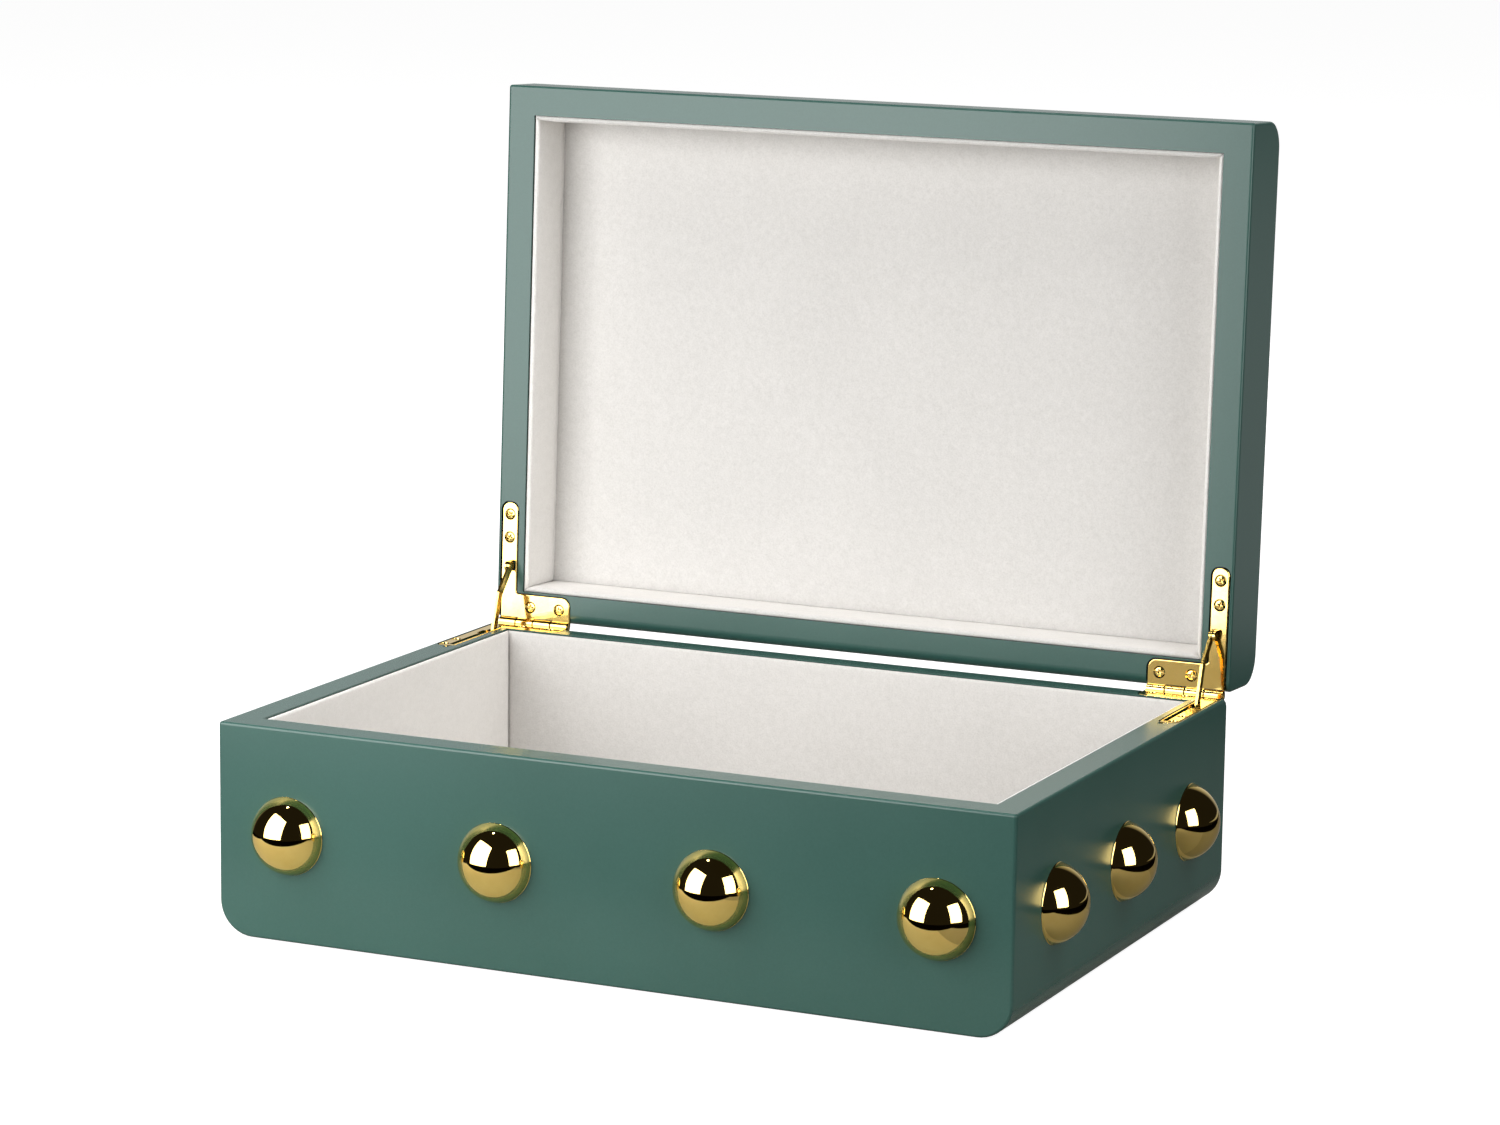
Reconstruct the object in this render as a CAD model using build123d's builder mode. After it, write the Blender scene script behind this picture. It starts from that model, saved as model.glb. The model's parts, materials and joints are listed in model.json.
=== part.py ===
from build123d import *
import math
import os

# A lacquered jewellery box with a velvet lining and a lid that stands open.
# Millimetres, +Z up, +X to the right, the front face looks along -Y.
# The origin is the centre of the underside, on the surface the box stands on.

# ---- driving dimensions -------------------------------------------------
WIDTH = 300.0
DEPTH = 206.4
BASE_HEIGHT = 76.4
LID_HEIGHT = 29.5
WALL = 11.2
PANEL = 6.0

BASE_ROLL = 12.5      # rounded lower side edges of the base
LID_ROLL = 10.5       # rounded upper front and rear edges of the lid
REAR_ROLL = 4.0       # rounded rear rims, which leave room for the hinge barrel
EDGE = 1.0            # all other outer edges

LINING = 2.2
LINING_DROP = 0.5     # the lining stops this far short of the rim
PAD = 1.8

FELT = 1.2
FELT_PROUD = 0.4
FELT_INSET_X = 20.0
FELT_INSET_Y = 14.0
FELT_CORNER = 6.0

STUD_RADIUS = 14.0
STUD_LAND = 0.4
STUD_CROWN_RADIUS = 13.8
STUD_CROWN = 10.6
STUD_SHANK_RADIUS = 1.5
STUD_SHANK = 9.0
STUD_HEIGHT = 38.2    # above the underside of the wood
FRONT_STUDS = 4
FRONT_STUD_PITCH = 81.7
SIDE_STUDS = 3
SIDE_STUD_PITCH = 65.0

# ---- hinge: "inset" is measured in from a side face, "reach" forward from the hinge axis
OPEN_ANGLE = 92.5
RIM_GAP = 0.3         # between the two rims when closed
AXIS_SETBACK = 1.0    # hinge axis behind the rear face
LEAF = 1.2
LEAF_INSET = 1.6
LEG_WIDTH = 6.8
LID_LEG_REACH = 46.7
BASE_LEG_REACH = 52.0
FOOT_REACH = 11.2
HINGE_LENGTH = 30.0
LEG_CORNER = 3.0
FOOT_CORNER = 3.5
INNER_CORNER = 1.0
LEAF_EDGE = 0.5       # rounded edge of the side that shows
KNUCKLES = 4
KNUCKLE_RADIUS = 1.8
KNUCKLE_GAP = 0.3
LEAF_CLEARANCE = 0.3  # round the other leaf's knuckles
RECESS_GAP = 0.45     # round a leaf, between its outline and the wood
PIN_RADIUS = 0.9
RUNNING_FIT = 0.05

SCREW_HEAD_RADIUS = 1.7
SCREW_HEAD_LAND = 0.15
SCREW_RADIUS = 0.9
SCREW_LENGTH = 9.0
SCREW_SUNK = 0.35     # below the leaf's face
LID_MOUTH = 0.6       # how much wider the hole is there than the screw's head
BASE_MOUTH = 0.15     # less, because the slot runs beside these holes
CROSS_LENGTH = 1.9
CROSS_WIDTH = 0.45
CROSS_DEPTH = 0.6
FOOT_SCREW_INSETS = (14.6, 27.0)
FOOT_SCREW_REACH = 6.3
LID_LEG_SCREWS = (33.0, 42.0)
LID_LEG_SCREW_INSET = 5.0
BASE_LEG_SCREWS = (39.5, 48.8)
BASE_LEG_SCREW_INSET = 3.65

# ---- stay arm: a bent strip on a lug of the lid leaf, its tail in a slot of the base
STAY_REACH = 22.0
STAY_DROP = 2.2       # pivot below the hinge axis when closed
STAY_RATIO = 1.5      # turn of the arm on the lid for each degree of the lid
STAY_UPPER = 12.7
STAY_LOWER = 18.8
STAY_BEND = 25.0
STAY_WIDTH = 3.0
STAY_THICKNESS = 1.0
STAY_INSET = 6.2
EYE_RADIUS = 1.9
RIVET_RADIUS = 0.8
RIVET_HEAD_RADIUS = 1.3
RIVET_HEAD = 0.25
SHOULDER_RADIUS = 1.2
LUG_INSET = 5.0
LUG_THICKNESS = 0.9
WINDOW_WIDTH = 1.8
WINDOW_LENGTH = 4.0

SLOT_WIDTH = 2.0
SLOT_START = 12.6
SLOT_END = 49.0
MORTISE_END = 54.5
MORTISE_DEPTH = 14.0
POCKET_INSET = 4.5
POCKET_WIDTH = 3.3
POCKET_START = 19.3
POCKET_END = 24.7
POCKET_DEPTH = 5.0

# ---- derived places -------------------------------------------------------
HALF = WIDTH / 2
REAR = -AXIS_SETBACK
FRONT = REAR - DEPTH
BASE_RIM = -RIM_GAP / 2
BASE_LOW = BASE_RIM - BASE_HEIGHT
LID_RIM = RIM_GAP / 2
LID_TOP = LID_RIM + LID_HEIGHT
AXIS_Y = DEPTH / 2 + AXIS_SETBACK
AXIS_Z = FELT_PROUD - BASE_LOW
SLOT_INSET = STAY_INSET - (SLOT_WIDTH - STAY_THICKNESS) / 2
WINDOW_INSET = LUG_INSET + LUG_THICKNESS + WINDOW_WIDTH / 2

# Both halves are drawn about the hinge axis, as they lie when closed.
base_frame = Location((0, AXIS_Y, AXIS_Z))
lid_frame = Location((0, AXIS_Y, AXIS_Z), (-OPEN_ANGLE, 0, 0))
stay_frame = (
    lid_frame
    * Location((0, -STAY_REACH, -STAY_DROP))
    * Location((0, 0, 0), (STAY_RATIO * OPEN_ANGLE, 0, 0))
)

os.makedirs("parts", exist_ok=True)


def placed(frame, plane):
    """A plane given in a frame's own axes, as a plane of the whole box."""
    return Plane(frame * plane.location)


def save(piece, name):
    piece.part.label = name
    export_step(piece.part, f"parts/{name}.step")


# ---- wooden shell -----------------------------------------------------------
def sharp_edges(solid):
    """The edges where two faces meet at an angle, leaving out the seams of rolled edges."""
    sharp = []
    for edge in solid.edges():
        middle = edge.position_at(0.5)
        normals = [face.normal_at(middle) for face in solid.faces() if edge in face.edges()]
        if normals[0].dot(normals[1]) < 0.5:
            sharp.append(edge)
    return sharp


def extruded_outline(plane, corners, radii, length):
    """A solid of one outline with its own radius at each corner."""
    with BuildPart() as form:
        with BuildSketch(plane):
            with BuildLine():
                FilletPolyline(*corners, radius=radii, close=True)
            make_face()
        extrude(amount=length)
    return form.part


def plan_corners(inset):
    """Corners of the plan rectangle set in from the outer faces, from front left round to rear left."""
    left, right = inset - HALF, HALF - inset
    front, rear = FRONT + inset, REAR - inset
    return [(left, front), (right, front), (right, rear), (left, rear)]


WALL_SIDES = {"front": (0, 1), "right": (1, 2), "rear": (2, 3), "left": (3, 0)}


def mitred_wall(frame, side, outer_inset, inner_inset, low, high):
    """One wall of a four-sided frame with mitred corners."""
    first, second = WALL_SIDES[side]
    outer = plan_corners(outer_inset)
    inner = plan_corners(inner_inset)
    with BuildPart() as wall:
        with BuildSketch(placed(frame, Plane.XY.offset(low))):
            with BuildLine():
                Polyline(outer[first], outer[second], inner[second], inner[first], close=True)
            make_face()
        extrude(amount=high - low)
    return wall.part


def flat_sheet(frame, inset, low, high):
    """A rectangular sheet with the plan of the box, set in from its faces."""
    with BuildPart() as sheet:
        with BuildSketch(placed(frame, Plane.XY.offset(low))):
            with BuildLine():
                Polyline(*plan_corners(inset), close=True)
            make_face()
        extrude(amount=high - low)
    return sheet.part


# ---- fasteners and studs -------------------------------------------------------
def screw_body(cross=False):
    """A countersunk wood screw pointing down from the origin, or the hole for one."""
    cone = SCREW_HEAD_RADIUS - SCREW_RADIUS
    with BuildPart() as screw:
        with BuildSketch(Plane.XZ):
            with BuildLine():
                Polyline(
                    (0, 0),
                    (SCREW_HEAD_RADIUS, 0),
                    (SCREW_HEAD_RADIUS, -SCREW_HEAD_LAND),
                    (SCREW_RADIUS, -SCREW_HEAD_LAND - cone),
                    (SCREW_RADIUS, -SCREW_LENGTH + SCREW_RADIUS),
                    (0, -SCREW_LENGTH),
                    close=True,
                )
            make_face()
        revolve(axis=Axis.Z)
        if cross:
            with BuildSketch():
                Rectangle(CROSS_LENGTH, CROSS_WIDTH)
                Rectangle(CROSS_WIDTH, CROSS_LENGTH)
            extrude(amount=-CROSS_DEPTH, mode=Mode.SUBTRACT)
    return screw.part


def screw_hole(mouth):
    """The hole for a screw in a leaf, with a wider mouth above the sunk head."""
    with BuildPart() as hole:
        add(screw_body())
        with Locations((0, 0, SCREW_SUNK / 2)):
            Cone(SCREW_HEAD_RADIUS, SCREW_HEAD_RADIUS + mouth, SCREW_SUNK)
    return hole.part


def leaf_screw_places(side, lid):
    """Where the screws of one leaf go, in the hinge's closed frame, heads facing the other leaf."""
    legs = LID_LEG_SCREWS if lid else BASE_LEG_SCREWS
    inset = LID_LEG_SCREW_INSET if lid else BASE_LEG_SCREW_INSET
    spots = [(inset, reach) for reach in legs]
    spots += [(foot, FOOT_SCREW_REACH) for foot in FOOT_SCREW_INSETS]
    level = LID_RIM + SCREW_SUNK if lid else BASE_RIM - SCREW_SUNK
    turn = 180 if lid else 0
    return [Location((side * (HALF - i), -r, level), (turn, 0, 0)) for i, r in spots]


def stud_body():
    """A domed stud on its shank, standing along +Z from the face it is fixed to."""
    ball = (STUD_CROWN_RADIUS**2 + STUD_CROWN**2) / (2 * STUD_CROWN)
    with BuildPart() as stud:
        with BuildSketch(Plane.XZ):
            with BuildLine():
                RadiusArc((STUD_CROWN_RADIUS, STUD_LAND), (0, STUD_LAND + STUD_CROWN), -ball)
                Polyline(
                    (0, STUD_LAND + STUD_CROWN),
                    (0, -STUD_SHANK),
                    (STUD_SHANK_RADIUS, -STUD_SHANK),
                    (STUD_SHANK_RADIUS, 0),
                    (STUD_RADIUS, 0),
                    (STUD_RADIUS, STUD_LAND),
                    (STUD_CROWN_RADIUS, STUD_LAND),
                )
            make_face()
        revolve(axis=Axis.Z)
    return stud.part


def row(count, pitch):
    """Evenly spaced places about zero."""
    return [(i - (count - 1) / 2) * pitch for i in range(count)]


STUD_Z = FELT_PROUD + STUD_HEIGHT
front_row = row(FRONT_STUDS, FRONT_STUD_PITCH)
side_row = row(SIDE_STUDS, SIDE_STUD_PITCH)
stud_places = {
    "front": [Location((x, -DEPTH / 2, STUD_Z), (90, 0, 0)) for x in front_row],
    "right": [Location((HALF, y, STUD_Z), (0, 90, 0)) for y in side_row],
    "left": [Location((-HALF, y, STUD_Z), (0, -90, 0)) for y in side_row],
}


# ---- hinge ------------------------------------------------------------------
def knuckle_span(index):
    """Insets of the ends of one knuckle, counted from the side face inwards."""
    pitch = HINGE_LENGTH / KNUCKLES
    start = LEAF_INSET + index * pitch
    return start + KNUCKLE_GAP, start + pitch - KNUCKLE_GAP


def side_plane(frame, side, inset):
    """Plane across the box at an inset; an extrusion of -side runs inwards from it."""
    return placed(frame, Plane.YZ.offset(side * (HALF - inset)))


def leaf_outline(side, leg_reach):
    """L-shaped outline of a leaf, seen from above."""
    outer = LEAF_INSET
    leg = LEAF_INSET + LEG_WIDTH
    foot = LEAF_INSET + HINGE_LENGTH
    insets_and_reaches = [
        (outer, 0),
        (outer, leg_reach),
        (leg, leg_reach),
        (leg, FOOT_REACH),
        (foot, FOOT_REACH),
        (foot, 0),
    ]
    with BuildSketch() as outline:
        with BuildLine():
            FilletPolyline(
                *[(side * (HALF - inset), -reach) for inset, reach in insets_and_reaches],
                radius=[0, LEG_CORNER, LEG_CORNER, INNER_CORNER, FOOT_CORNER, 0],
                close=True,
            )
        make_face()
    return outline.sketch


def rounded_face(leaf, frame, level):
    """Rounds the edges of a leaf's showing side, apart from the one at the barrel."""
    half_plane = placed(frame, Plane.XY)
    showing = []
    for edge in leaf.edges():
        middle = half_plane.to_local_coords(edge.position_at(0.5))
        if abs(middle.Z - level) < 0.01 and abs(middle.Y) > 0.01:
            showing.append(edge)
    fillet(showing, LEAF_EDGE)


def inset_slot(side, inset, width, start, end):
    """A straight-ended slot along the side, drawn in the open sketch."""
    with Locations((side * (HALF - inset - width / 2), -(start + end) / 2)):
        Rectangle(width, end - start)


def hinge_leaf(side, lid):
    """One L-shaped leaf with its two knuckles; the lid's leaf carries the lug of the stay arm."""
    frame = lid_frame if lid else base_frame
    way = 1 if lid else -1
    level = LID_RIM if lid else BASE_RIM
    own = [i for i in range(KNUCKLES) if i % 2 == (1 if lid else 0)]
    others = [i for i in range(KNUCKLES) if i not in own]
    with BuildPart() as leaf:
        with BuildSketch(placed(frame, Plane.XY.offset(level))):
            add(leaf_outline(side, LID_LEG_REACH if lid else BASE_LEG_REACH))
        extrude(amount=way * LEAF)
        rounded_face(leaf, frame, level)
        for index in others:
            start, end = knuckle_span(index)
            with BuildSketch(side_plane(frame, side, start - 2 * KNUCKLE_GAP)):
                Circle(KNUCKLE_RADIUS + LEAF_CLEARANCE)
            extrude(amount=-side * (end - start + 4 * KNUCKLE_GAP), mode=Mode.SUBTRACT)
        for index in own:
            start, end = knuckle_span(index)
            with BuildSketch(side_plane(frame, side, start)):
                Circle(KNUCKLE_RADIUS)
            extrude(amount=-side * (end - start))
        bore = PIN_RADIUS + RUNNING_FIT if lid else PIN_RADIUS
        with BuildSketch(side_plane(frame, side, LEAF_INSET)):
            Circle(bore)
        extrude(amount=-side * HINGE_LENGTH, mode=Mode.SUBTRACT)
        if lid:
            with BuildSketch(placed(frame, Plane.XY.offset(level))):
                with Locations((side * (HALF - WINDOW_INSET), -STAY_REACH)):
                    Rectangle(WINDOW_WIDTH, WINDOW_LENGTH)
            extrude(amount=way * LEAF, mode=Mode.SUBTRACT)
            with BuildSketch(side_plane(frame, side, LUG_INSET)):
                with Locations((-STAY_REACH, (level + LEAF - STAY_DROP) / 2)):
                    Rectangle(2 * EYE_RADIUS, level + LEAF + STAY_DROP)
                with Locations((-STAY_REACH, -STAY_DROP)):
                    Circle(EYE_RADIUS)
                    Circle(RIVET_RADIUS, mode=Mode.SUBTRACT)
            extrude(amount=-side * LUG_THICKNESS)
        else:
            with BuildSketch(placed(frame, Plane.XY.offset(level))):
                inset_slot(side, SLOT_INSET, SLOT_WIDTH, SLOT_START, SLOT_END)
                inset_slot(side, POCKET_INSET, POCKET_WIDTH, POCKET_START, POCKET_END)
            extrude(amount=way * LEAF, mode=Mode.SUBTRACT)
        with Locations(*[frame * place for place in leaf_screw_places(side, lid)]):
            add(screw_hole(LID_MOUTH if lid else BASE_MOUTH), mode=Mode.SUBTRACT)
    return leaf


def leaf_recess(side, lid):
    """What a leaf and its screws take out of the wood."""
    frame = lid_frame if lid else base_frame
    way = 1 if lid else -1
    level = LID_RIM if lid else BASE_RIM
    with BuildPart() as recess:
        with BuildSketch(placed(frame, Plane.XY.offset(level - way * RIM_GAP))):
            add(leaf_outline(side, LID_LEG_REACH if lid else BASE_LEG_REACH))
            offset(amount=RECESS_GAP)
        extrude(amount=way * (LEAF + RIM_GAP))
        with Locations(*[frame * place for place in leaf_screw_places(side, lid)]):
            add(screw_blank)
        if not lid:
            with BuildSketch(placed(frame, Plane.XY.offset(level))):
                inset_slot(side, SLOT_INSET, SLOT_WIDTH, SLOT_START, MORTISE_END)
            extrude(amount=-MORTISE_DEPTH)
            with BuildSketch(placed(frame, Plane.XY.offset(level))):
                inset_slot(side, POCKET_INSET, POCKET_WIDTH, POCKET_START, POCKET_END)
            extrude(amount=-POCKET_DEPTH)
    return recess.part


def hinge_pin(side):
    """The straight pin through all four knuckles."""
    with BuildPart() as pin:
        with BuildSketch(side_plane(base_frame, side, LEAF_INSET)):
            Circle(PIN_RADIUS)
        extrude(amount=-side * HINGE_LENGTH)
    return pin


def stay_arm(side):
    """The bent strip, drawn along -Y from its eye in its own turned frame."""
    turn = math.radians(STAY_BEND)
    elbow = (-STAY_UPPER, 0)
    lower_mid = (
        elbow[0] - STAY_LOWER / 2 * math.cos(turn),
        elbow[1] - STAY_LOWER / 2 * math.sin(turn),
    )
    with BuildPart() as arm:
        with BuildSketch(side_plane(stay_frame, side, STAY_INSET)):
            Circle(EYE_RADIUS)
            with Locations((-STAY_UPPER / 2, 0)):
                SlotCenterToCenter(STAY_UPPER, STAY_WIDTH)
            with Locations(lower_mid):
                SlotCenterToCenter(STAY_LOWER, STAY_WIDTH, rotation=STAY_BEND)
            Circle(RIVET_RADIUS + RUNNING_FIT, mode=Mode.SUBTRACT)
        extrude(amount=-side * STAY_THICKNESS)
    return arm


def stay_rivet(side):
    """Shouldered rivet fixed in the lug; the arm turns on it."""
    lug_end = LUG_INSET + LUG_THICKNESS
    arm_end = STAY_INSET + STAY_THICKNESS + RUNNING_FIT
    steps = [
        (LUG_INSET - RIVET_HEAD, LUG_INSET, SHOULDER_RADIUS),
        (LUG_INSET, lug_end, RIVET_RADIUS),
        (lug_end, STAY_INSET - RUNNING_FIT, SHOULDER_RADIUS),
        (STAY_INSET - RUNNING_FIT, arm_end, RIVET_RADIUS),
        (arm_end, arm_end + RIVET_HEAD, RIVET_HEAD_RADIUS),
    ]
    with BuildPart() as rivet:
        for start, end, radius in steps:
            with BuildSketch(side_plane(lid_frame, side, start)):
                with Locations((-STAY_REACH, -STAY_DROP)):
                    Circle(radius)
            extrude(amount=-side * (end - start))
    return rivet


# ---- shared cutters -----------------------------------------------------------
screw_blank = screw_body()
screw = screw_body(cross=True)
stud = stud_body()
SIDES = {"left": -1, "right": 1}

# The front outline of the base runs from front to rear; the side outline of the lid runs across.
base_corners = [(-HALF, BASE_LOW), (HALF, BASE_LOW), (HALF, BASE_RIM), (-HALF, BASE_RIM)]
with BuildPart() as base_form:
    rear_plane = placed(base_frame, Plane.XZ.offset(-REAR))
    add(extruded_outline(rear_plane, base_corners, [BASE_ROLL, BASE_ROLL, 0, 0], DEPTH))
    rear_rim = base_form.edges().filter_by(Axis.X).group_by(Axis.Z)[-1].sort_by(Axis.Y)[-1]
    fillet(rear_rim, REAR_ROLL)
    fillet(sharp_edges(base_form.part), EDGE)

lid_corners = [(FRONT, LID_RIM), (REAR, LID_RIM), (REAR, LID_TOP), (FRONT, LID_TOP)]
with BuildPart() as lid_form:
    left_plane = placed(lid_frame, Plane.YZ.offset(-HALF))
    add(extruded_outline(left_plane, lid_corners, [0, REAR_ROLL, LID_ROLL, LID_ROLL], WIDTH))
    fillet(sharp_edges(lid_form.part), EDGE)

base_recesses = [leaf_recess(sign, lid=False) for sign in SIDES.values()]
lid_recesses = [leaf_recess(sign, lid=True) for sign in SIDES.values()]

# ---- base ------------------------------------------------------------------------
floor_level = BASE_LOW + PANEL

with BuildPart() as felt:
    with BuildSketch():
        RectangleRounded(WIDTH - 2 * FELT_INSET_X, DEPTH - 2 * FELT_INSET_Y, FELT_CORNER)
    extrude(amount=FELT)
save(felt, "underside_felt")

with BuildPart() as bottom_panel:
    add(flat_sheet(base_frame, 0, BASE_LOW, floor_level))
    add(base_form.part, mode=Mode.INTERSECT)
    add(felt.part, mode=Mode.SUBTRACT)
save(bottom_panel, "base_bottom_panel")

for side in WALL_SIDES:
    with BuildPart() as board:
        add(mitred_wall(base_frame, side, 0, WALL, floor_level, BASE_RIM))
        add(base_form.part, mode=Mode.INTERSECT)
        add(base_recesses, mode=Mode.SUBTRACT)
        if side in stud_places:
            with Locations(*stud_places[side]):
                add(stud, mode=Mode.SUBTRACT)
    save(board, f"base_{side}_board")

for side, places in stud_places.items():
    with BuildPart() as studs:
        with Locations(*places):
            add(stud)
    save(studs, f"{side}_studs")

with BuildPart() as floor_pad:
    add(flat_sheet(base_frame, WALL, floor_level, floor_level + PAD))
save(floor_pad, "base_floor_pad")

pad_top = floor_level + PAD
for side in WALL_SIDES:
    with BuildPart() as lining:
        add(mitred_wall(base_frame, side, WALL, WALL + LINING, pad_top, BASE_RIM - LINING_DROP))
    save(lining, f"base_{side}_lining")

# ---- lid ----------------------------------------------------------------------
ceiling_level = LID_TOP - PANEL

with BuildPart() as top_panel:
    add(flat_sheet(lid_frame, 0, ceiling_level, LID_TOP))
    add(lid_form.part, mode=Mode.INTERSECT)
save(top_panel, "lid_top_panel")

for side in WALL_SIDES:
    with BuildPart() as rail:
        add(mitred_wall(lid_frame, side, 0, WALL, LID_RIM, ceiling_level))
        add(lid_form.part, mode=Mode.INTERSECT)
        add(lid_recesses, mode=Mode.SUBTRACT)
    save(rail, f"lid_{side}_rail")

with BuildPart() as lid_pad:
    add(flat_sheet(lid_frame, WALL, ceiling_level - PAD, ceiling_level))
save(lid_pad, "lid_pad")

pad_face = ceiling_level - PAD
for side in WALL_SIDES:
    with BuildPart() as lining:
        add(mitred_wall(lid_frame, side, WALL, WALL + LINING, LID_RIM + LINING_DROP, pad_face))
    save(lining, f"lid_{side}_lining")

# ---- hinges and stay arms --------------------------------------------------------
for name, sign in SIDES.items():
    save(hinge_leaf(sign, lid=True), f"{name}_lid_leaf")
    save(hinge_leaf(sign, lid=False), f"{name}_base_leaf")
    save(hinge_pin(sign), f"{name}_hinge_pin")
    save(stay_arm(sign), f"{name}_stay_arm")
    save(stay_rivet(sign), f"{name}_stay_rivet")
    for half, frame in (("lid", lid_frame), ("base", base_frame)):
        with BuildPart() as screws:
            spots = leaf_screw_places(sign, lid=half == "lid")
            with Locations(*[frame * spot for spot in spots]):
                add(screw)
        save(screws, f"{name}_{half}_leaf_screws")
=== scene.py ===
import json
import math

import bpy
from mathutils import Matrix, Vector, noise


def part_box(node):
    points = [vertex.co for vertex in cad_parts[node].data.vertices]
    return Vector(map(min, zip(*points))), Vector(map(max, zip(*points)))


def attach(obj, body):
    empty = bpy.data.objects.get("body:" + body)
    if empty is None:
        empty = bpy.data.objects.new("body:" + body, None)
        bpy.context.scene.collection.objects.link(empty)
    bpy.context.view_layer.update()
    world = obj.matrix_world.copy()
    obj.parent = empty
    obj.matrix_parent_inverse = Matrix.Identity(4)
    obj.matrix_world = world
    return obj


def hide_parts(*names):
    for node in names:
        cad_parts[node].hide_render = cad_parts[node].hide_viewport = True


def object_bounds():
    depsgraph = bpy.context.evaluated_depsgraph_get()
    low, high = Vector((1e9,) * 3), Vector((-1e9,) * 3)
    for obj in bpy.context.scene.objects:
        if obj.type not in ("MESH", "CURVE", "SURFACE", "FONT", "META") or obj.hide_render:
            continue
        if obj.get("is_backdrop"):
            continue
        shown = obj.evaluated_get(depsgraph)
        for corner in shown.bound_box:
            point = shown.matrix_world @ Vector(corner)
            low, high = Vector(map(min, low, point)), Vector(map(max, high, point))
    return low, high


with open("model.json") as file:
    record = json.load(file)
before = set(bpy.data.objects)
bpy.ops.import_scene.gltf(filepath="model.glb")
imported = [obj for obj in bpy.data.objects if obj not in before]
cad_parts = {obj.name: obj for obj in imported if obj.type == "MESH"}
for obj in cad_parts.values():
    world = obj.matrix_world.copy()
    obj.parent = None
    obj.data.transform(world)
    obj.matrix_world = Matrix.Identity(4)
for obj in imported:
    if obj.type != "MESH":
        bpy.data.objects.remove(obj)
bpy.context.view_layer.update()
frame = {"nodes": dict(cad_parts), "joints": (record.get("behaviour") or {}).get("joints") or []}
nodes = frame["nodes"]
MM = 0.001

# The lid's pieces are worked out as they lie when closed, then turned to where the lid stands.
lid_joint = next(j for j in frame["joints"] if j["name"] == "lid_hinge")
hinge_place = Matrix.Translation(Vector(lid_joint["pos_m"]))
lid_open = math.radians(lid_joint["range_deg"][1])
LID_TURN = hinge_place @ Matrix.Rotation(-lid_open, 4, "X") @ hinge_place.inverted()
HALVES = {"base": Matrix.Identity(4), "lid": LID_TURN}


def closed_box(node, half):
    """Lowest and highest corner of a node, as it lies when the box is closed."""
    back = HALVES[half].inverted()
    points = [back @ v.co for v in nodes[node].data.vertices]
    low = Vector(min(p[k] for p in points) for k in range(3))
    high = Vector(max(p[k] for p in points) for k in range(3))
    return low, high


# ---- materials ------------------------------------------------------------------
def new_material(name, **constants):
    """A material and its node tree, with constant values set on the shader's own sockets."""
    made = bpy.data.materials.new(name)
    made.use_nodes = True
    shader = made.node_tree.nodes["Principled BSDF"]
    for socket, value in constants.items():
        shader.inputs[socket.replace("_", " ")].default_value = value
    return made, made.node_tree, shader


def object_coordinates(tree, stretch=(1, 1, 1)):
    source = tree.nodes.new("ShaderNodeTexCoord")
    mapping = tree.nodes.new("ShaderNodeMapping")
    mapping.inputs["Scale"].default_value = stretch
    tree.links.new(source.outputs["Object"], mapping.inputs["Vector"])
    return mapping.outputs["Vector"]


def noise_value(tree, coordinates, scale, detail=2.0, roughness=0.5):
    texture = tree.nodes.new("ShaderNodeTexNoise")
    texture.inputs["Scale"].default_value = scale
    texture.inputs["Detail"].default_value = detail
    texture.inputs["Roughness"].default_value = roughness
    tree.links.new(coordinates, texture.inputs["Vector"])
    return texture.outputs["Fac"]


def ramp(tree, value, stops):
    """Colours along a value, given as (place, colour)."""
    made = tree.nodes.new("ShaderNodeValToRGB")
    tree.links.new(value, made.inputs["Fac"])
    elements = made.color_ramp.elements
    while len(elements) < len(stops):
        elements.new(0.5)
    for element, (place, colour) in zip(elements, stops):
        element.position = place
        element.color = (*colour, 1)
    return made.outputs["Color"]


def spread(tree, value, low, high, start=0.3, end=0.7):
    """A value stretched from start..end to low..high."""
    made = tree.nodes.new("ShaderNodeMapRange")
    made.inputs["From Min"].default_value = start
    made.inputs["From Max"].default_value = end
    made.inputs["To Min"].default_value = low
    made.inputs["To Max"].default_value = high
    tree.links.new(value, made.inputs["Value"])
    return made.outputs["Result"]


def combine(tree, kind, first, second, factor=1.0):
    """Two colours blended."""
    made = tree.nodes.new("ShaderNodeMix")
    made.data_type = "RGBA"
    made.blend_type = kind
    made.inputs["Factor"].default_value = factor
    tree.links.new(first, made.inputs["A"])
    tree.links.new(second, made.inputs["B"])
    return made.outputs["Result"]


# Painted shade: surfaces in narrow gaps are darkened, standing in for the shade that falls there.
DEEP_GAP = 0.30     # how open to the light a surface is where it is darkest
NO_GAP = 0.62       # and where it stops being darkened


def paint_gap_shade(tree, colour, width, shade):
    """A colour darkened with painted shade where the surface lies in a gap narrower than the width."""
    gap = tree.nodes.new("ShaderNodeAmbientOcclusion")
    gap.samples = 8
    gap.inputs["Distance"].default_value = width
    shadow = ramp(tree, gap.outputs["AO"], [(DEEP_GAP, (shade, shade, shade)), (NO_GAP, (1, 1, 1))])
    return combine(tree, "MULTIPLY", colour, shadow)


def add_bump(tree, shader, layers):
    """Heights laid over each other, each given as (value, strength, distance)."""
    normal = None
    for value, strength, distance in layers:
        bump = tree.nodes.new("ShaderNodeBump")
        bump.inputs["Strength"].default_value = strength
        bump.inputs["Distance"].default_value = distance
        tree.links.new(value, bump.inputs["Height"])
        if normal is not None:
            tree.links.new(normal, bump.inputs["Normal"])
        normal = bump.outputs["Normal"]
    tree.links.new(normal, shader.inputs["Normal"])


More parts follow.
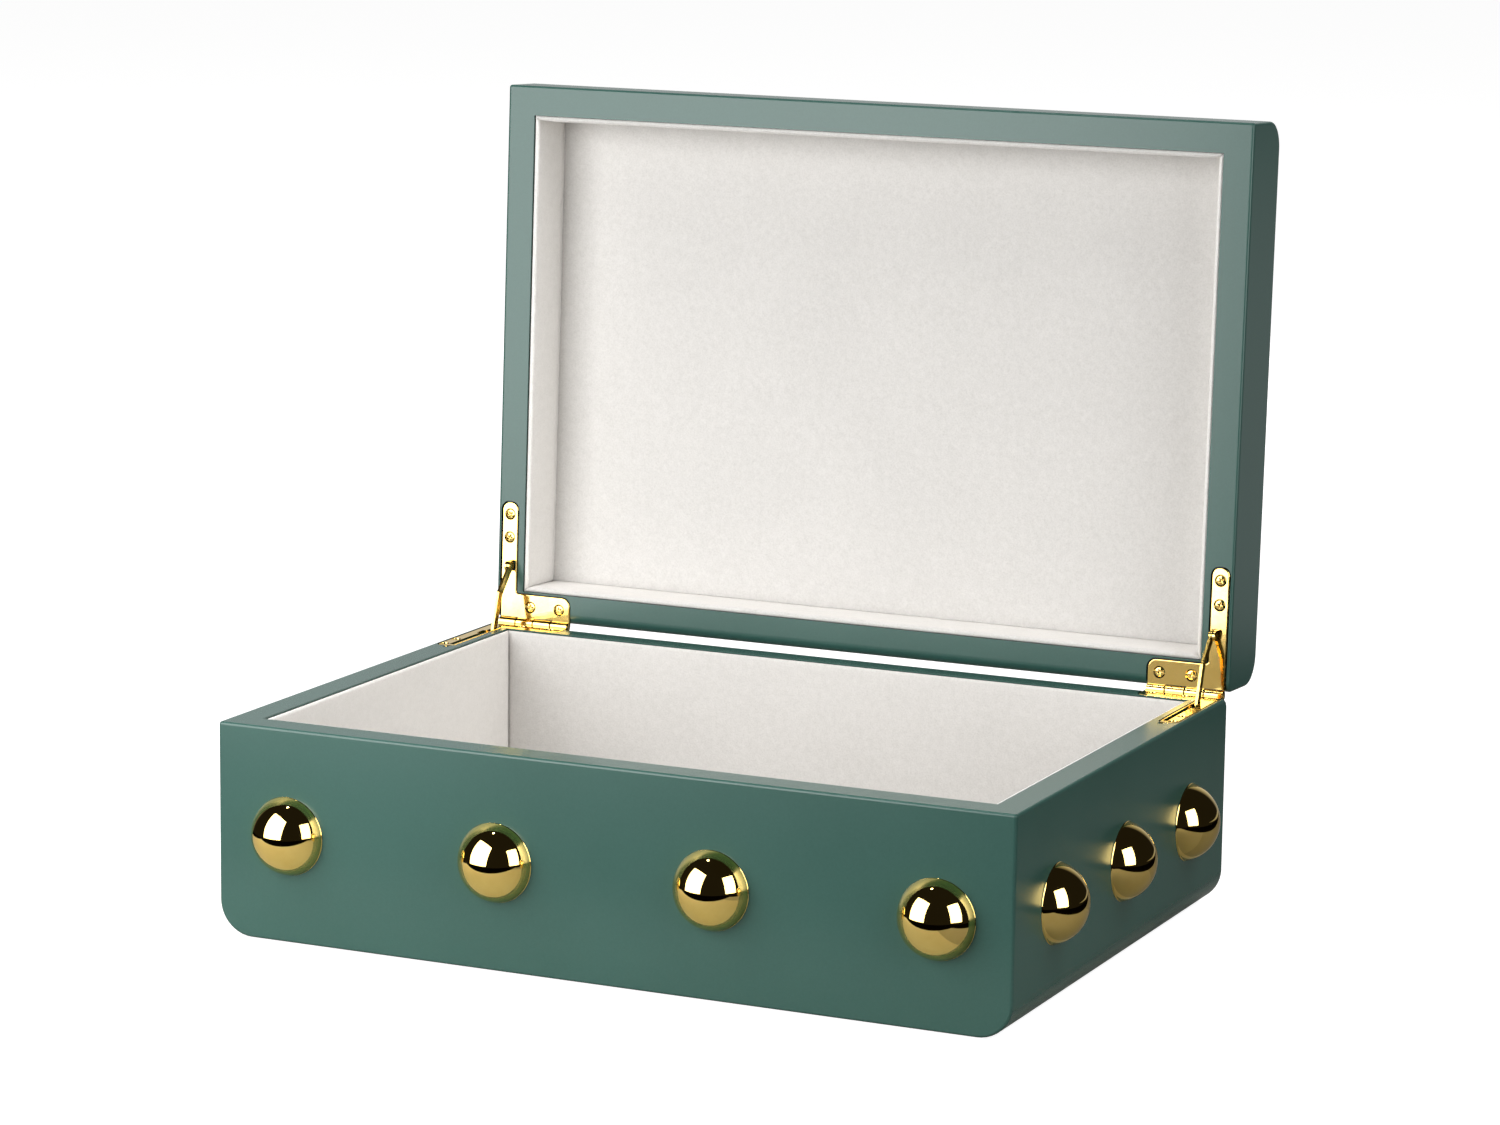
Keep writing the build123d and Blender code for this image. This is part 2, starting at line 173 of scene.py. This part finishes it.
def lacquer_material():
    """Satin sprayed paint: faint cloudiness, orange peel, fine dust in the coat, and painted shade in its
    gaps.
    """
    made, tree, shader = new_material("satin_lacquer", IOR=1.5)
    place = object_coordinates(tree)
    clouds = noise_value(tree, place, 16, 3)
    dust = noise_value(tree, place, 1400, 2)
    peel = noise_value(tree, place, 520, 2)
    tone = ramp(tree, clouds, [(0.3, (0.038, 0.104, 0.086)), (0.7, (0.042, 0.113, 0.094))])
    flecks = [(0.25, (0.96, 0.96, 0.96)), (0.55, (1, 1, 1)), (0.80, (1.04, 1.04, 1.035))]
    fleck = ramp(tree, dust, flecks)
    # Painted shade darkens the paint in narrow gaps, such as round the hinge leaves and at the studs'
    # feet.
    paint_and_gap_shade = paint_gap_shade(tree, combine(tree, "MULTIPLY", tone, fleck), 1.5 * MM, 0.15)
    tree.links.new(paint_and_gap_shade, shader.inputs["Base Color"])
    tree.links.new(spread(tree, clouds, 0.255, 0.275, 0.0, 1.0), shader.inputs["Roughness"])
    add_bump(tree, shader, [(peel, 0.05, 0.1 * MM), (dust, 0.03, 0.03 * MM)])
    return made


def velvet_material(name, light, sheen, sheen_rough):
    """Short off-white nap: brushed patches, a soft grain and a pale sheen at glancing angles."""
    made, tree, shader = new_material(
        name, Roughness=0.9, Sheen_Weight=sheen, Sheen_Roughness=sheen_rough,
        Sheen_Tint=(1.0, 0.97, 0.93, 1), Specular_IOR_Level=0.15,
    )
    place = object_coordinates(tree)
    patches = noise_value(tree, place, 22, 4, 0.6)
    grain = noise_value(tree, place, 1500, 3, 0.7)
    tufts = noise_value(tree, place, 420, 3, 0.6)
    brushed = ((0.25, 0.975), (0.5, 1.0), (0.78, 1.02))
    shades = [(at, (light * k, 0.974 * light * k, 0.942 * light * k)) for at, k in brushed]
    tone = ramp(tree, patches, shades)
    naps = [(0.25, (0.88, 0.875, 0.87)), (0.5, (0.98, 0.98, 0.98)), (0.75, (1.04, 1.04, 1.04))]
    nap = ramp(tree, grain, naps)
    soft = ramp(tree, tufts, [(0.3, (0.95, 0.95, 0.945)), (0.7, (1.02, 1.02, 1.02))])
    brushed_nap = combine(tree, "MULTIPLY", tone, nap)
    tree.links.new(combine(tree, "MULTIPLY", brushed_nap, soft), shader.inputs["Base Color"])
    add_bump(tree, shader, [(tufts, 0.35, 0.3 * MM), (grain, 0.5, 0.2 * MM)])
    return made


def brass_material(name, dull, bright, rough, wave, scratch):
    """Gold-coloured polished brass: faint hairlines, small waves of the pressed sheet, and painted shade
    in its gaps.
    """
    made, tree, shader = new_material(name, Metallic=1.0)
    place = object_coordinates(tree)
    hairs = noise_value(tree, object_coordinates(tree, (1, 9, 1)), 700, 3, 0.7)
    waves = noise_value(tree, place, 45, 1)
    tarnish = noise_value(tree, place, 130, 4, 0.6)
    tone = ramp(tree, tarnish, [(0.3, dull), (0.7, bright)])
    # Painted shade darkens the brass in narrow gaps: slots, knuckle joints and screw holes.
    tree.links.new(paint_gap_shade(tree, tone, 3.0 * MM, 0.06), shader.inputs["Base Color"])
    tree.links.new(spread(tree, hairs, rough * 0.8, rough * 1.3), shader.inputs["Roughness"])
    add_bump(tree, shader, [(waves, wave, 0.4 * MM), (hairs, scratch, 0.02 * MM)])
    return made


def steel_material():
    """Brass-plated steel wire, drawn along its length."""
    made, tree, shader = new_material("plated_steel", Metallic=1.0)
    drawn = noise_value(tree, object_coordinates(tree, (0.05, 1, 1)), 2600, 3, 0.7)
    tone = ramp(tree, drawn, [(0.3, (0.72, 0.56, 0.30)), (0.7, (0.86, 0.70, 0.42))])
    tree.links.new(tone, shader.inputs["Base Color"])
    tree.links.new(spread(tree, drawn, 0.22, 0.34), shader.inputs["Roughness"])
    add_bump(tree, shader, [(drawn, 0.2, 0.03 * MM)])
    return made


def felt_material():
    """Dense dark felt with short matted fibres."""
    made, tree, shader = new_material("base_felt", Roughness=0.95, Sheen_Weight=0.2, Sheen_Roughness=0.6)
    place = object_coordinates(tree)
    fibres = noise_value(tree, object_coordinates(tree, (1, 3, 1)), 900, 4, 0.75)
    mat = noise_value(tree, place, 60, 3)
    tone = ramp(tree, mat, [(0.3, (0.020, 0.032, 0.028)), (0.7, (0.030, 0.045, 0.040))])
    strands = ramp(tree, fibres, [(0.3, (0.65, 0.65, 0.65)), (0.7, (1.35, 1.35, 1.35))])
    tree.links.new(combine(tree, "MULTIPLY", tone, strands), shader.inputs["Base Color"])
    add_bump(tree, shader, [(fibres, 0.6, 0.3 * MM)])
    return made


LACQUER = lacquer_material()
PAD_VELVET = velvet_material("pad_velvet", 0.725, 0.8, 0.5)
# The side walls get a paler copy of the velvet, painted light that makes them nearly as bright as the
# pads.
SIDE_VELVET_PAINTED_LIGHT = velvet_material("side_velvet_painted_light", 0.92, 1.0, 0.6)
HINGE_BRASS = brass_material("hinge_brass", (0.92, 0.65, 0.19), (0.97, 0.71, 0.24), 0.09, 0.05, 0.08)
STAY_BRASS = brass_material("stay_brass", (0.84, 0.58, 0.14), (0.92, 0.66, 0.19), 0.22, 0.05, 0.15)
STUD_BRASS = brass_material("stud_brass", (0.91, 0.655, 0.20), (0.97, 0.725, 0.245), 0.035, 0.03, 0.02)
STEEL = steel_material()
FELT = felt_material()


def paint(obj, made):
    obj.data.materials.clear()
    obj.data.materials.append(made)


# Side walls take the paler velvet copy with painted light.
def velvet_of(name):
    return SIDE_VELVET_PAINTED_LIGHT if "left" in name or "right" in name else PAD_VELVET


def finish_of(name):
    if "board" in name or "panel" in name or "rail" in name:
        return LACQUER
    if "lining" in name or "pad" in name:
        return velvet_of(name)
    if "felt" in name:
        return FELT
    if "pin" in name:
        return STEEL
    if "stay" in name:
        return STAY_BRASS
    return HINGE_BRASS


for name, cad in nodes.items():
    paint(cad, finish_of(name))


# ---- meshes ------------------------------------------------------------------------
def new_piece(name, points, faces, made, body):
    """A smooth mesh that rides on a body and takes its finish from a material slot."""
    mesh = bpy.data.meshes.new(name)
    mesh.from_pydata(points, [], faces)
    mesh.validate()
    mesh.polygons.foreach_set("use_smooth", [True] * len(mesh.polygons))
    piece = bpy.data.objects.new(name, mesh)
    bpy.context.scene.collection.objects.link(piece)
    paint(piece, made)
    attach(piece, body)
    return piece


# ---- velvet lining of the walls -------------------------------------------------------
LIP_STEPS = 8
WALL_STEP = 1.5 * MM
FACE_STEP = 3.0 * MM
TUCK = 0.5 * MM          # how far a lining reaches down beside the pad's soft edge
SOFTEN = 0.30 * MM       # how far the face sinks at its ends
SOFTEN_REACH = 2.0 * MM  # how soon it rises from there
CROWN = 0.25 * SOFTEN    # how far the face sinks at its top and foot
RIPPLE = 0.10 * MM
RIPPLE_SCALE = 90
FINE_RIPPLE = 0.35 * RIPPLE
FINE_RIPPLE_SCALE = 420


def lining_profile(thick, low, top):
    """Cross section from the foot of the back, over the rounded lip, down the face: (depth, height)."""
    radius = thick / 2
    section = [(0.0, low), (0.0, (low + top) / 2)]
    for i in range(LIP_STEPS + 1):
        angle = math.pi * i / LIP_STEPS
        section.append((radius - radius * math.cos(angle), top - radius + radius * math.sin(angle)))
    count = max(4, round((top - radius - low) / FACE_STEP))
    for i in range(1, count + 1):
        section.append((thick, top - radius + (low - top + radius) * i / count))
    return section


def lining_mesh(run, origin, along, inward, up, section):
    """Sweeps the section along a wall with mitred ends, and softens its face."""
    thick = max(d for d, _ in section)
    low, top = min(h for _, h in section), max(h for _, h in section)
    count = round(run / WALL_STEP)
    points, faces = [], []
    for i in range(count + 1):
        for depth, height in section:
            length = run - 2 * depth
            offset = depth + length * i / count
            share = depth / thick
            end = min(offset - depth, run - depth - offset)
            sink = SOFTEN * math.exp(-max(end, 0) / SOFTEN_REACH)
            sink += CROWN * (1 - math.sin(math.pi * (height - low) / (top - low)))
            place = origin + along * offset + up * height
            ripple = RIPPLE * (noise.noise(place * RIPPLE_SCALE) - 1)
            ripple += FINE_RIPPLE * noise.noise(place * FINE_RIPPLE_SCALE)
            points.append(place + inward * (depth + share * (ripple - sink)))
    wide = len(section)
    for i in range(count):
        for j in range(wide):
            a, b = i * wide + j, i * wide + (j + 1) % wide
            faces.append((a, b, b + wide, a + wide))
    faces.append(tuple(range(wide - 1, -1, -1)))
    faces.append(tuple(count * wide + j for j in range(wide)))
    return points, faces


def make_lining(half, side):
    """The velvet-covered card of one wall, run anticlockwise along it as seen from above."""
    node = f"{half}_{side}_lining"
    low, high = closed_box(node, half)
    size = high - low
    run, thick = (size.x, size.y) if side in ("front", "rear") else (size.y, size.x)
    if half == "base":
        section = lining_profile(thick, low.z - TUCK, high.z)
    else:
        section = [(d, -h) for d, h in lining_profile(thick, -high.z - TUCK, -low.z)]
    start, along = {
        "front": ((low.x, low.y, 0), (1, 0, 0)),
        "right": ((high.x, low.y, 0), (0, 1, 0)),
        "rear": ((high.x, high.y, 0), (-1, 0, 0)),
        "left": ((low.x, high.y, 0), (0, -1, 0)),
    }[side]
    up, along = Vector((0, 0, 1)), Vector(along)
    points, faces = lining_mesh(run, Vector(start), along, up.cross(along), up, section)
    if half == "lid":
        faces = [tuple(reversed(f)) for f in faces]
    points = [HALVES[half] @ p for p in points]
    piece = new_piece(f"{half}_{side}_velvet", points, faces, velvet_of(node), half)
    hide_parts(node)


for half in HALVES:
    for side in ("front", "right", "rear", "left"):
        make_lining(half, side)


# ---- velvet pads on the floor and inside the lid ------------------------------------------
PAD_STEP = 2.0 * MM
PAD_EDGE_DROP = 0.45 * MM     # how far the pad sinks where it meets the linings
PAD_EDGE_REACH = 2.2 * MM     # how soon it rises from there
PAD_WAVE = 0.16 * MM
PAD_WAVE_SCALE = 28
FINE_WAVE = 0.25 * PAD_WAVE
FINE_WAVE_SCALE = 240
WAVE_SLICE, FINE_SLICE = 3.1, 7.7     # where the noise is cut, so that the two pads differ
LINING_THICK = 2.2 * MM


def make_pad(half, node):
    """A thin pad: a grid of its face, sunk at the edge and softly uneven, over a flat back."""
    low, high = closed_box(node, half)
    way = 1 if half == "base" else -1
    back, face = (low.z, high.z) if way == 1 else (high.z, low.z)
    columns = round((high.x - low.x) / PAD_STEP)
    rows = round((high.y - low.y) / PAD_STEP)
    points, faces = [], []
    for j in range(rows + 1):
        for i in range(columns + 1):
            x = low.x + (high.x - low.x) * i / columns
            y = low.y + (high.y - low.y) * j / rows
            to_wall = min(x - low.x, high.x - x, y - low.y, high.y - y) - LINING_THICK
            drop = PAD_EDGE_DROP * math.exp(-max(to_wall, 0) / PAD_EDGE_REACH)
            at = Vector((x * PAD_WAVE_SCALE, y * PAD_WAVE_SCALE, WAVE_SLICE * way))
            wave = PAD_WAVE * (0.5 + 0.5 * noise.noise(at))
            at = Vector((x * FINE_WAVE_SCALE, y * FINE_WAVE_SCALE, FINE_SLICE * way))
            wave += FINE_WAVE * noise.noise(at)
            points.append(Vector((x, y, face - way * (drop + max(wave, 0)))))
    wide = columns + 1
    for j in range(rows):
        for i in range(columns):
            a = j * wide + i
            faces.append((a, a + 1, a + 1 + wide, a + wide))
    # The face's border, anticlockwise, and the same points again on the flat back.
    border = list(range(wide))
    border += [j * wide + columns for j in range(1, rows + 1)]
    border += [rows * wide + i for i in range(columns - 1, -1, -1)]
    border += [j * wide for j in range(rows - 1, 0, -1)]
    first = len(points)
    points += [Vector((points[k].x, points[k].y, back)) for k in border]
    count = len(border)
    for k in range(count):
        n = (k + 1) % count
        faces.append((border[k], first + k, first + n, border[n]))
    faces.append(tuple(first + k for k in range(count - 1, -1, -1)))
    if way == -1:
        faces = [tuple(reversed(f)) for f in faces]
    points = [HALVES[half] @ p for p in points]
    piece = new_piece(f"{half}_velvet_pad", points, faces, PAD_VELVET, half)
    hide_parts(node)


make_pad("base", "base_floor_pad")
make_pad("lid", "lid_pad")


# ---- studs -------------------------------------------------------------------------------
STUD_TURNS = 96
DOME_STEPS = 36
FLANGE_STEPS = 6
FLANGE_HEIGHT = 0.08 * MM
FLANGE_ROLL = 0.03 * MM
CROWN_INSET = 0.02 * MM
SHANK_RADIUS = 1.5 * MM
SHANK_LENGTH = 9.0 * MM
STUDS_APART = 5 * MM     # a wider gap between points is a gap between two studs


def stud_profile(radius, height):
    """Half section from the tip of the shank round the flange to the crown: (radius, height)."""
    crown_radius = radius - CROWN_INSET
    crown = height - FLANGE_HEIGHT
    ball = (crown_radius**2 + crown**2) / (2 * crown)
    section = [(0.0, -SHANK_LENGTH), (SHANK_RADIUS, -SHANK_LENGTH + SHANK_RADIUS), (SHANK_RADIUS, 0.0)]
    section.append((radius - FLANGE_ROLL, 0.0))
    for i in range(1, FLANGE_STEPS + 1):
        angle = math.pi * i / FLANGE_STEPS
        section.append((
            radius - FLANGE_ROLL + FLANGE_ROLL * math.sin(angle),
            FLANGE_HEIGHT / 2 - FLANGE_HEIGHT / 2 * math.cos(angle),
        ))
    half_angle = math.asin(crown_radius / ball)
    for i in range(1, DOME_STEPS + 1):
        angle = half_angle * (1 - i / DOME_STEPS)
        section.append((ball * math.sin(angle), height - ball + ball * math.cos(angle)))
    return section


def stud_centres(node, across):
    """Where the studs stand along a face, found from the gaps between them in the node's mesh."""
    places = sorted(v.co[across] for v in nodes[node].data.vertices)
    groups = [[places[0]]]
    for place in places[1:]:
        if place - groups[-1][-1] > STUDS_APART:
            groups.append([])
        groups[-1].append(place)
    return [(g[0] + g[-1]) / 2 for g in groups]


def make_studs(side, outward, across):
    """All studs of one face, lathed about its outward direction; across is the axis they stand along."""
    node = f"{side}_studs"
    low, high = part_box(node)
    body_low, body_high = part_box(f"base_{side}_board")
    depth = 1 - across
    ahead = outward[depth] > 0
    face, tip = (body_high[depth], high[depth]) if ahead else (body_low[depth], low[depth])
    section = stud_profile((high.z - low.z) / 2, abs(tip - face))
    rings = [s for s in section if s[0] > 0]
    sideways = outward.orthogonal().normalized()
    up = outward.cross(sideways)
    points, faces = [], []
    for centre in stud_centres(node, across):
        first = len(points)
        origin = Vector((0, 0, (low.z + high.z) / 2))
        origin[across], origin[depth] = centre, face
        points.append(origin + outward * section[0][1])
        for r, h in rings:
            for k in range(STUD_TURNS):
                turn = 2 * math.pi * k / STUD_TURNS
                points.append(origin + outward * h + (sideways * math.cos(turn) + up * math.sin(turn)) * r)
        points.append(origin + outward * section[-1][1])
        last = len(points) - 1
        top = last - STUD_TURNS
        for k in range(STUD_TURNS):
            n = (k + 1) % STUD_TURNS
            faces.append((first, first + 1 + n, first + 1 + k))
            faces.append((last, top + k, top + n))
            for r in range(len(rings) - 1):
                a = first + 1 + r * STUD_TURNS
                b = a + STUD_TURNS
                faces.append((a + k, a + n, b + n, b + k))
    piece = new_piece(f"{side}_stud_domes", points, faces, STUD_BRASS, "base")
    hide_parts(node)


make_studs("front", Vector((0, -1, 0)), 0)
make_studs("right", Vector((1, 0, 0)), 1)
make_studs("left", Vector((-1, 0, 0)), 1)


# ---- hinge screws --------------------------------------------------------------------------
HEAD_RADIUS = 1.7 * MM
HEAD_RINGS = 20
HEAD_TURNS = 72
HEAD_RISE = 0.18 * MM
HEAD_LAND = 0.15 * MM
THREAD_RADIUS = 0.9 * MM
SCREW_LENGTH = 9.0 * MM
ARM_LENGTH = 1.05 * MM
ARM_WIDTH = 0.26 * MM
ARM_WALL = (0.6 * ARM_WIDTH, 1.25 * ARM_WIDTH)      # where a side of the recess starts and ends
ARM_END = (0.8 * ARM_LENGTH, 1.1 * ARM_LENGTH)
ARM_RISE = 0.5                                      # how much shallower an arm is at its end
CROSS_DEPTH = 0.55 * MM
SCREWS_APART = 4 * MM                               # points nearer than this belong to one screw
FIRST_TURN, NEXT_TURN = 0.35, 0.9                   # radians


def smooth_step(value, low, high):
    """Rises smoothly from 0 at the low value to 1 at the high one."""
    share = min(max((value - low) / (high - low), 0), 1)
    return share * share * (3 - 2 * share)


def head_height(x, y):
    """Top of an oval head with a cross recess, above its rim."""
    reach = math.hypot(x, y)
    height = HEAD_RISE * (1 - (reach / HEAD_RADIUS) ** 2)
    along, across = max(abs(x), abs(y)), min(abs(x), abs(y))
    arm = 1 - smooth_step(across, *ARM_WALL)
    arm *= 1 - smooth_step(along, *ARM_END)
    return height - CROSS_DEPTH * arm * (1 - ARM_RISE * along / ARM_LENGTH)


def screw_mesh(origin, side, up, across, turn):
    """One countersunk screw: oval head, cone, shank and point."""
    rings = [(HEAD_RADIUS * i / HEAD_RINGS, None) for i in range(1, HEAD_RINGS + 1)]
    cone = HEAD_RADIUS - THREAD_RADIUS
    rings += [
        (HEAD_RADIUS, -HEAD_LAND),
        (THREAD_RADIUS, -HEAD_LAND - cone),
        (THREAD_RADIUS, -SCREW_LENGTH + THREAD_RADIUS),
    ]
    points = [origin + up * head_height(0, 0)]
    for radius, height in rings:
        for k in range(HEAD_TURNS):
            angle = 2 * math.pi * k / HEAD_TURNS
            x, y = radius * math.cos(angle), radius * math.sin(angle)
            rise = head_height(x, y) if height is None else height
            spin = angle + turn
            points.append(origin + up * rise + (side * math.cos(spin) + across * math.sin(spin)) * radius)
    points.append(origin - up * SCREW_LENGTH)
    faces = []
    for k in range(HEAD_TURNS):
        n = (k + 1) % HEAD_TURNS
        faces.append((0, 1 + k, 1 + n))
        for r in range(len(rings) - 1):
            a, b = 1 + r * HEAD_TURNS, 1 + (r + 1) * HEAD_TURNS
            faces.append((a + k, b + k, b + n, a + n))
        last = 1 + (len(rings) - 1) * HEAD_TURNS
        faces.append((len(points) - 1, last + n, last + k))
    return points, faces


def make_screws(node, half):
    """New screws where a node's old ones stand, each turned a little further than the last."""
    back = HALVES[half].inverted()
    groups = []
    for vertex in nodes[node].data.vertices:
        place = back @ vertex.co
        for group in groups:
            if (group[0].xy - place.xy).length < SCREWS_APART:
                group.append(place)
                break
        else:
            groups.append([place])
    way = 1 if half == "base" else -1
    up, side = Vector((0, 0, way)), Vector((1, 0, 0))
    points, faces = [], []
    for number, group in enumerate(groups):
        middle = [(min(p[k] for p in group) + max(p[k] for p in group)) / 2 for k in range(2)]
        rim = max(p.z * way for p in group) * way
        turn = FIRST_TURN + NEXT_TURN * number
        screw, sides = screw_mesh(Vector((*middle, rim)), side, up, up.cross(side), turn)
        faces += [tuple(len(points) + k for k in f) for f in sides]
        points += [HALVES[half] @ p for p in screw]
    piece = new_piece(node.replace("leaf_screws", "oval_screws"), points, faces, HINGE_BRASS, half)
    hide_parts(node)


for hinge in ("left", "right"):
    for half in HALVES:
        make_screws(f"{hinge}_{half}_leaf_screws", half)


# ---- studio ------------------------------------------------------------------------------
def stage_material(name, colour, glow=0.0):
    """Matt paper for the stage, which can glow evenly without being sampled as a lamp."""
    made, _, shader = new_material(name, Roughness=0.9, Specular_IOR_Level=0.0)
    shader.inputs["Base Color"].default_value = (*colour, 1)
    shader.inputs["Emission Color"].default_value = (1, 1, 1, 1)
    shader.inputs["Emission Strength"].default_value = glow
    made.cycles.emission_sampling = "NONE"
    return made


def stage_card(name, low, high, level, made):
    mesh = bpy.data.meshes.new(name)
    corners = [low, (high[0], low[1]), high, (low[0], high[1])]
    mesh.from_pydata([(*corner, level) for corner in corners], [], [(0, 1, 2, 3)])
    card = bpy.data.objects.new(name, mesh)
    bpy.context.scene.collection.objects.link(card)
    paint(card, made)
    card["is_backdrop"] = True
    return card


FLOOR = stage_material("pale_floor", (0.42, 0.42, 0.42), glow=0.93)
floor = stage_card("floor", (-15, -15), (15, 15), 0.0, FLOOR)
floor.visible_diffuse = False
floor.visible_glossy = False

# The camera sees none of these cards. The room and the backdrop light the box and are mirrored in it.
# One table lights it, and three others are mirrored instead: a brighter copy with painted light, a plain
# one, and one at the far corner with painted shadow of the box.
DARK = stage_material("dark_room", (0.026, 0.020, 0.013))
TABLE = stage_material("table_top", (0.60, 0.58, 0.55))
# A brighter copy of the table, painted light for its mirror image.
TABLE_PAINTED_LIGHT = stage_material("table_painted_light", (0.90, 0.87, 0.80))
# A darker copy, painted shadow where the box shades the table behind it on the right.
TABLE_PAINTED_SHADOW = stage_material("table_painted_shadow", (0.50, 0.48, 0.45))
BACKDROP = stage_material("backdrop", (0, 0, 0), glow=0.33)
for name, low, high, level, made in (
    ("table", (-0.34, -0.21), (0.26, 0.40), -0.002, TABLE),
    ("table_mirrored", (-0.34, -0.21), (0.155, 0.40), -0.001, TABLE_PAINTED_LIGHT),
    ("table_mirrored_right", (0.155, -0.21), (0.26, 0.06), -0.001, TABLE),
    ("table_mirrored_painted_shadow", (0.155, 0.06), (0.26, 0.40), -0.001, TABLE_PAINTED_SHADOW),
    ("room", (-6, -6), (6, 6), -0.7, DARK),
    ("far_backdrop", (-1.5, 0.55), (1.5, 3.0), -0.001, BACKDROP),
):
    card = stage_card(name, low, high, level, made)
    card.visible_camera = False
    card.visible_shadow = False
    card.visible_transmission = False
    card.visible_glossy = name != "table"
    card.visible_diffuse = "mirrored" not in name


def direction(azimuth, elevation):
    """Unit vector; azimuth 0 is straight in front of the box, 90 is its right."""
    a, e = math.radians(azimuth), math.radians(elevation)
    return Vector((math.sin(a) * math.cos(e), -math.cos(a) * math.cos(e), math.sin(e)))


BOX_MIDDLE = (0, 0, 0.1)


def soft_light(
    name, azimuth, elevation, distance, size, power, aim=BOX_MIDDLE, diffuse=True, glossy=True
):
    """A softbox of a width and height in metres, turned towards its aim."""
    lamp = bpy.data.lights.new(name, "AREA")
    lamp.shape = "RECTANGLE"
    lamp.size, lamp.size_y = size
    lamp.energy = power
    light = bpy.data.objects.new(name, lamp)
    aim = Vector(aim)
    light.location = aim + direction(azimuth, elevation) * distance
    light.rotation_euler = (aim - light.location).to_track_quat("-Z", "Y").to_euler()
    light.visible_diffuse = diffuse
    light.visible_glossy = glossy
    light.visible_camera = False
    bpy.context.scene.collection.objects.link(light)


FILL_SIZE = (0.62, 0.9)
FILL_AIM = (0.1, -0.1, 0.06)
soft_light("key_softbox", -36.5, 15, 0.58, (0.58, 0.66), 6.6, aim=(0.0, -0.11, 0.16))
soft_light("fill_softbox", 66, 20, 1.1, FILL_SIZE, 4.9, aim=FILL_AIM, glossy=False)
soft_light("fill_sparkle", 66, 20, 1.08, FILL_SIZE, 7.9, aim=FILL_AIM, diffuse=False)
soft_light("side_light", 86, 48, 1.2, (0.5, 0.5), 2.7, glossy=False)
soft_light("hair_light", -78, 74, 1.5, (0.10, 0.10), 0.8)
soft_light("rear_light", -170, 12, 1.6, (0.9, 0.5), 5.0, glossy=False)
soft_light("overhead", 180, 80, 2.4, (3.0, 3.0), 40, glossy=False)

# The room is dark apart from a bright wall behind the box, on its left.
WALL_DIRECTION = direction(-150, 14)
WALL_FADE = (0.68, 0.92)      # cosines of the angles where the wall begins and where it is full
WALL_GLOW = 0.62
world = bpy.data.worlds.new("studio")
bpy.context.scene.world = world
world.use_nodes = True
tree = world.node_tree
background = tree.nodes["Background"]
coordinates = tree.nodes.new("ShaderNodeTexCoord")
facing = tree.nodes.new("ShaderNodeVectorMath")
facing.operation = "DOT_PRODUCT"
facing.inputs[1].default_value = WALL_DIRECTION
tree.links.new(coordinates.outputs["Generated"], facing.inputs[0])
wall = spread(tree, facing.outputs["Value"], 0.0, 1.0, *WALL_FADE)
sky = ramp(tree, wall, [(0.0, (0.02, 0.018, 0.015)), (1.0, (1.0, 1.0, 1.0))])
tree.links.new(sky, background.inputs["Color"])
background.inputs["Strength"].default_value = WALL_GLOW

# ---- camera ------------------------------------------------------------------------------
CAMERA_PLACE = (0.6957, -1.4974, 0.4340)
YAW, PITCH, ROLL = math.radians(24.723), math.radians(10.433), math.radians(0.740)
camera_data = bpy.data.cameras.new("camera")
camera_data.sensor_width = 36.0
camera_data.lens = 113.8
camera = bpy.data.objects.new("camera", camera_data)
bpy.context.scene.collection.objects.link(camera)
camera.matrix_world = (
    Matrix.Translation(CAMERA_PLACE)
    @ Matrix.Rotation(YAW, 4, "Z")
    @ Matrix.Rotation(math.pi / 2 - PITCH, 4, "X")
    @ Matrix.Rotation(ROLL, 4, "Z")
)
camera_data.clip_start, camera_data.clip_end = 0.05, 60.0
bpy.context.scene.camera = camera
bpy.context.scene.view_settings.view_transform = "Standard"

low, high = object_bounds()
